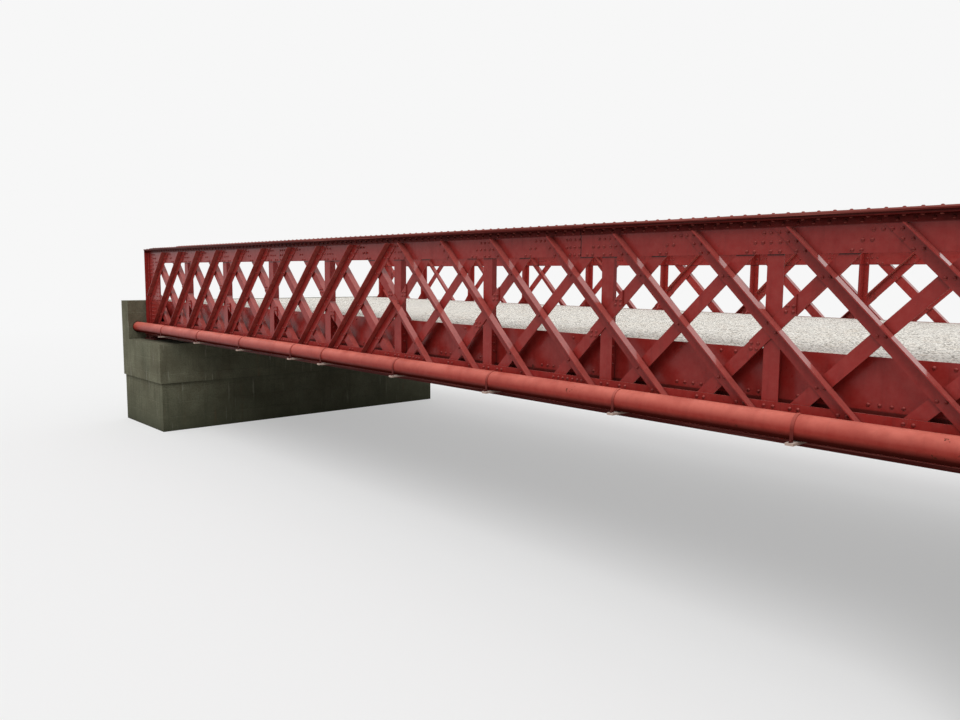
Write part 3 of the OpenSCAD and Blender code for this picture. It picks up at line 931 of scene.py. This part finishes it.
def make_lights():
    """A white sky, brighter to look at than it lights, and a broad soft sun."""
    world = bpy.data.worlds.new("world")
    world.use_nodes = True
    scene.world = world
    tree = world.node_tree
    sky = tree.nodes["Background"]
    sky.inputs["Color"].default_value = (1.0, 1.0, 1.0, 1.0)
    path = tree.nodes.new("ShaderNodeLightPath")
    seen = tree.nodes.new("ShaderNodeMath")
    seen.operation = "MAXIMUM"
    tree.links.new(path.outputs["Is Camera Ray"], seen.inputs[0])
    tree.links.new(path.outputs["Is Glossy Ray"], seen.inputs[1])
    strength = tree.nodes.new("ShaderNodeMapRange")
    strength.inputs["To Min"].default_value = SKY_LIGHT
    strength.inputs["To Max"].default_value = SKY_SEEN
    tree.links.new(seen.outputs[0], strength.inputs["Value"])
    tree.links.new(strength.outputs["Result"], sky.inputs["Strength"])
    lamp = bpy.data.lights.new("sun", "SUN")
    lamp.energy = SUN_STRENGTH
    lamp.angle = math.radians(SUN_ANGLE)
    sun = bpy.data.objects.new("sun", lamp)
    scene.collection.objects.link(sun)
    sun.rotation_euler = Vector(SUN_FROM).to_track_quat("Z", "Y").to_euler()


scene.view_settings.view_transform = "Standard"
make_camera()
make_stage()
make_lights()

girder_paint = painted_steel("girder_paint", base=linear(149, 36, 32), faded_and_highlight=linear(212, 128, 118),
                             grime_and_shade=linear(60, 24, 20), gloss=(0.27, 0.34), top=(0.5, 1.1),
                             streaks=0.25, coat=0.10, top_coat=0.65, girder=True)
# Rivet heads: darker than the girder's paint, paler on top and darker beneath, as painted shade and a
# painted highlight
rivet_lit_and_shaded_paint = painted_steel("rivet_lit_and_shaded_paint", base=linear(126, 30, 27), faded_and_highlight=linear(198, 106, 98),
                            grime_and_shade=linear(40, 16, 14), rust_share=0.02, top=(0.0, 1.1), girder=True)
# The pipe: paler on top and darker beneath, as a painted highlight and painted shade
pipe_paint = painted_steel("pipe_paint", base=linear(154, 47, 38), faded_and_highlight=linear(226, 126, 110),
                           grime_and_shade=linear(46, 18, 16), gloss=(0.34, 0.46), top=(0.0, 1.0),
                           streaks=0.10, under=(-0.2, -0.65), under_shade_share=0.8, lit=(-0.6, 0.0))
# The straps: darker below the pipe's middle, as painted shade
strap_paint = painted_steel("strap_paint", base=linear(132, 40, 33), faded_and_highlight=linear(214, 120, 106),
                            grime_and_shade=linear(44, 18, 15), rust_share=0.05, gloss=(0.5, 0.7),
                            top=(0.0, 1.2), streaks=0.3, lit=(-0.6, 0.2), dark_below=0.85)
bare_steel = painted_steel("bare_steel", base=linear(192, 166, 154), faded_and_highlight=linear(222, 208, 198),
                           grime_and_shade=linear(112, 62, 52), rust_share=0.07, gloss=(0.45, 0.7),
                           streaks=0.6, lit=(-0.6, 0.2))
under_paint = painted_steel("under_paint", base=linear(96, 40, 36), faded_and_highlight=linear(120, 62, 52),
                            grime_and_shade=linear(46, 26, 22), rust_share=0.07, gloss=(0.5, 0.8))

MATERIALS = {"girder_paint": girder_paint, "pipe_paint": pipe_paint, "under_paint": under_paint,
             "deck_concrete": deck_concrete(), "wall_concrete": wall_concrete()}
for entry in frame["record"]["subparts"]:
    set_material(entry["node"], MATERIALS[entry["material_slot"]])
set_material("pipe_straps", strap_paint)
set_material("pipe_saddles", bare_steel)

make_rivets(rivet_lit_and_shaded_paint, under_paint)
random.seed(FIXING_SEED)
make_bolts("strap", strap_bolts(), STRAP_NUT, STRAP_ROD, strap_paint)
make_bolts("bearing", bearing_bolts(), BEARING_NUT, BEARING_ROD, under_paint)
